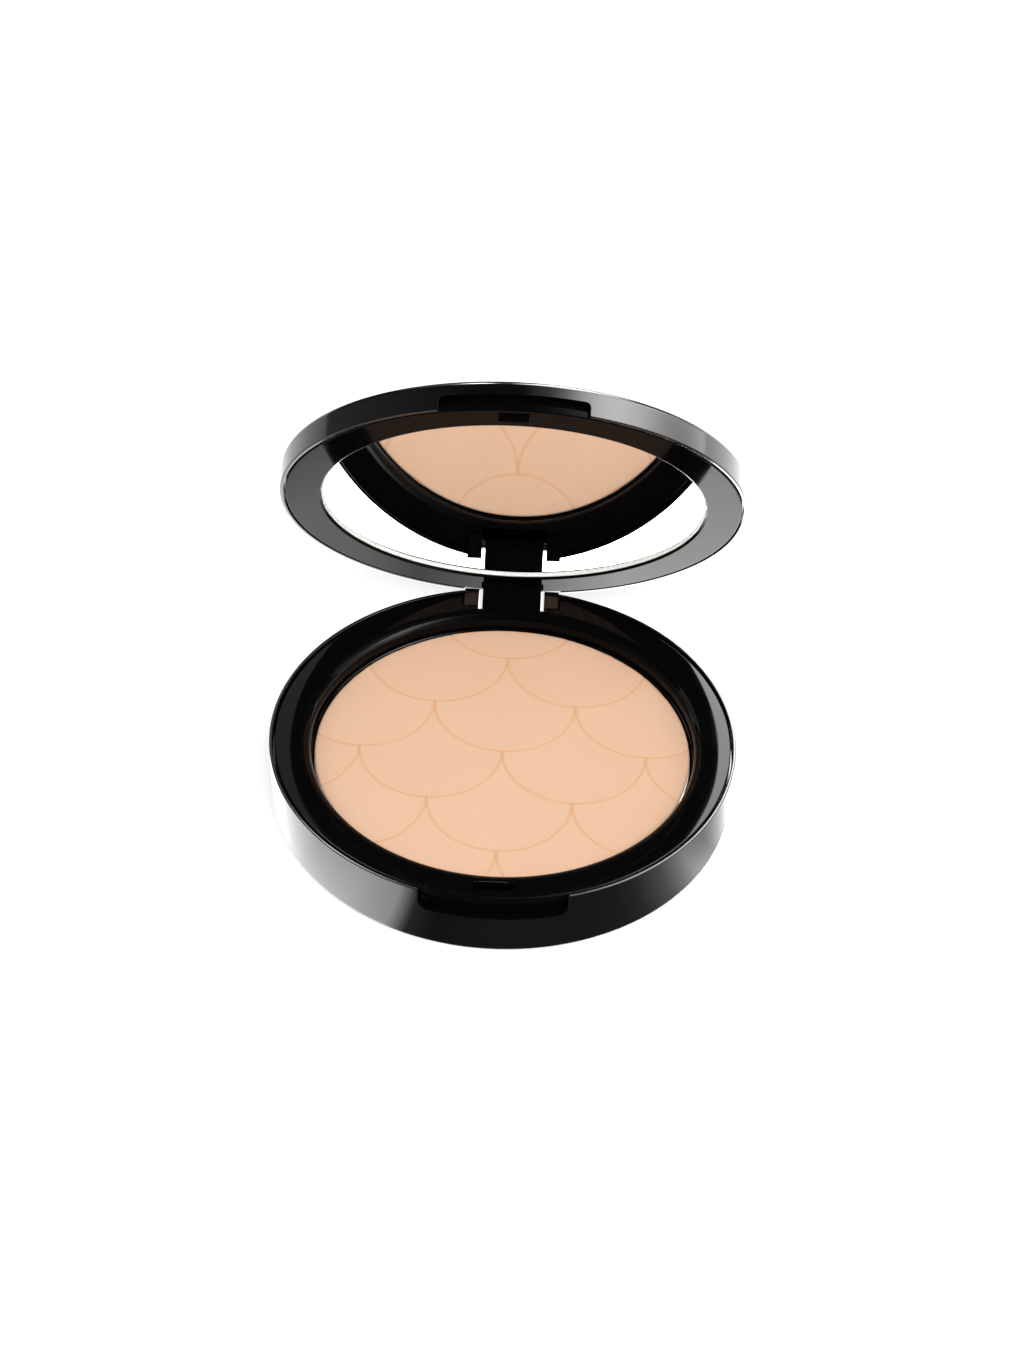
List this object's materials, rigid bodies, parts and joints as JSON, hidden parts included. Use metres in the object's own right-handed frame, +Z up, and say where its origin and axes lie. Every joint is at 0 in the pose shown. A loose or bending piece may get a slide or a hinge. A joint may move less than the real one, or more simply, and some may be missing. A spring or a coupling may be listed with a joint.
{
  "type": "powder compact",
  "caption": "Round pressed-powder compact: a base with a powder pan inside a glossy ring, and a hinged lid that holds a mirror. Thumb notches open it.",
  "frame": {"origin": "centre of the base's underside, on the surface it stands on", "axes": "+Z up; +X to the right; -Y towards the thumb notches at the front; the hinge is at +Y"},
  "size_m": [0.078, 0.0865, 0.0772],
  "materials": {
    "black_gloss_plastic": "moulded black plastic with a high gloss",
    "pressed_powder": "pressed beige powder, matt, with embossed arcs",
    "aluminium": "plain drawn sheet",
    "pin_steel": "drawn wire",
    "mirror": "silvered glass",
    "adhesive": "double-sided tape",
    "label_paper": "blank white paper"
  },
  "bodies": {
    "base": {"base_casing": "black_gloss_plastic", "base_deck": "black_gloss_plastic", "powder_pan": "aluminium", "pressed_powder": "pressed_powder", "pan_adhesive": "adhesive", "shade_label": "label_paper", "hinge_pin": "pin_steel"},
    "lid": {"lid_shell": "black_gloss_plastic", "mirror_frame": "black_gloss_plastic", "mirror_glass": "mirror", "mirror_adhesive": "adhesive"}
  },
  "joints": [
    {"name": "lid_hinge", "type": "hinge", "parent": "base", "child": "lid", "pos_m": [0, 0.037, 0.0053], "axis": [-1, 0, 0], "range_deg": [-61.3, 43.7]}
  ]
}
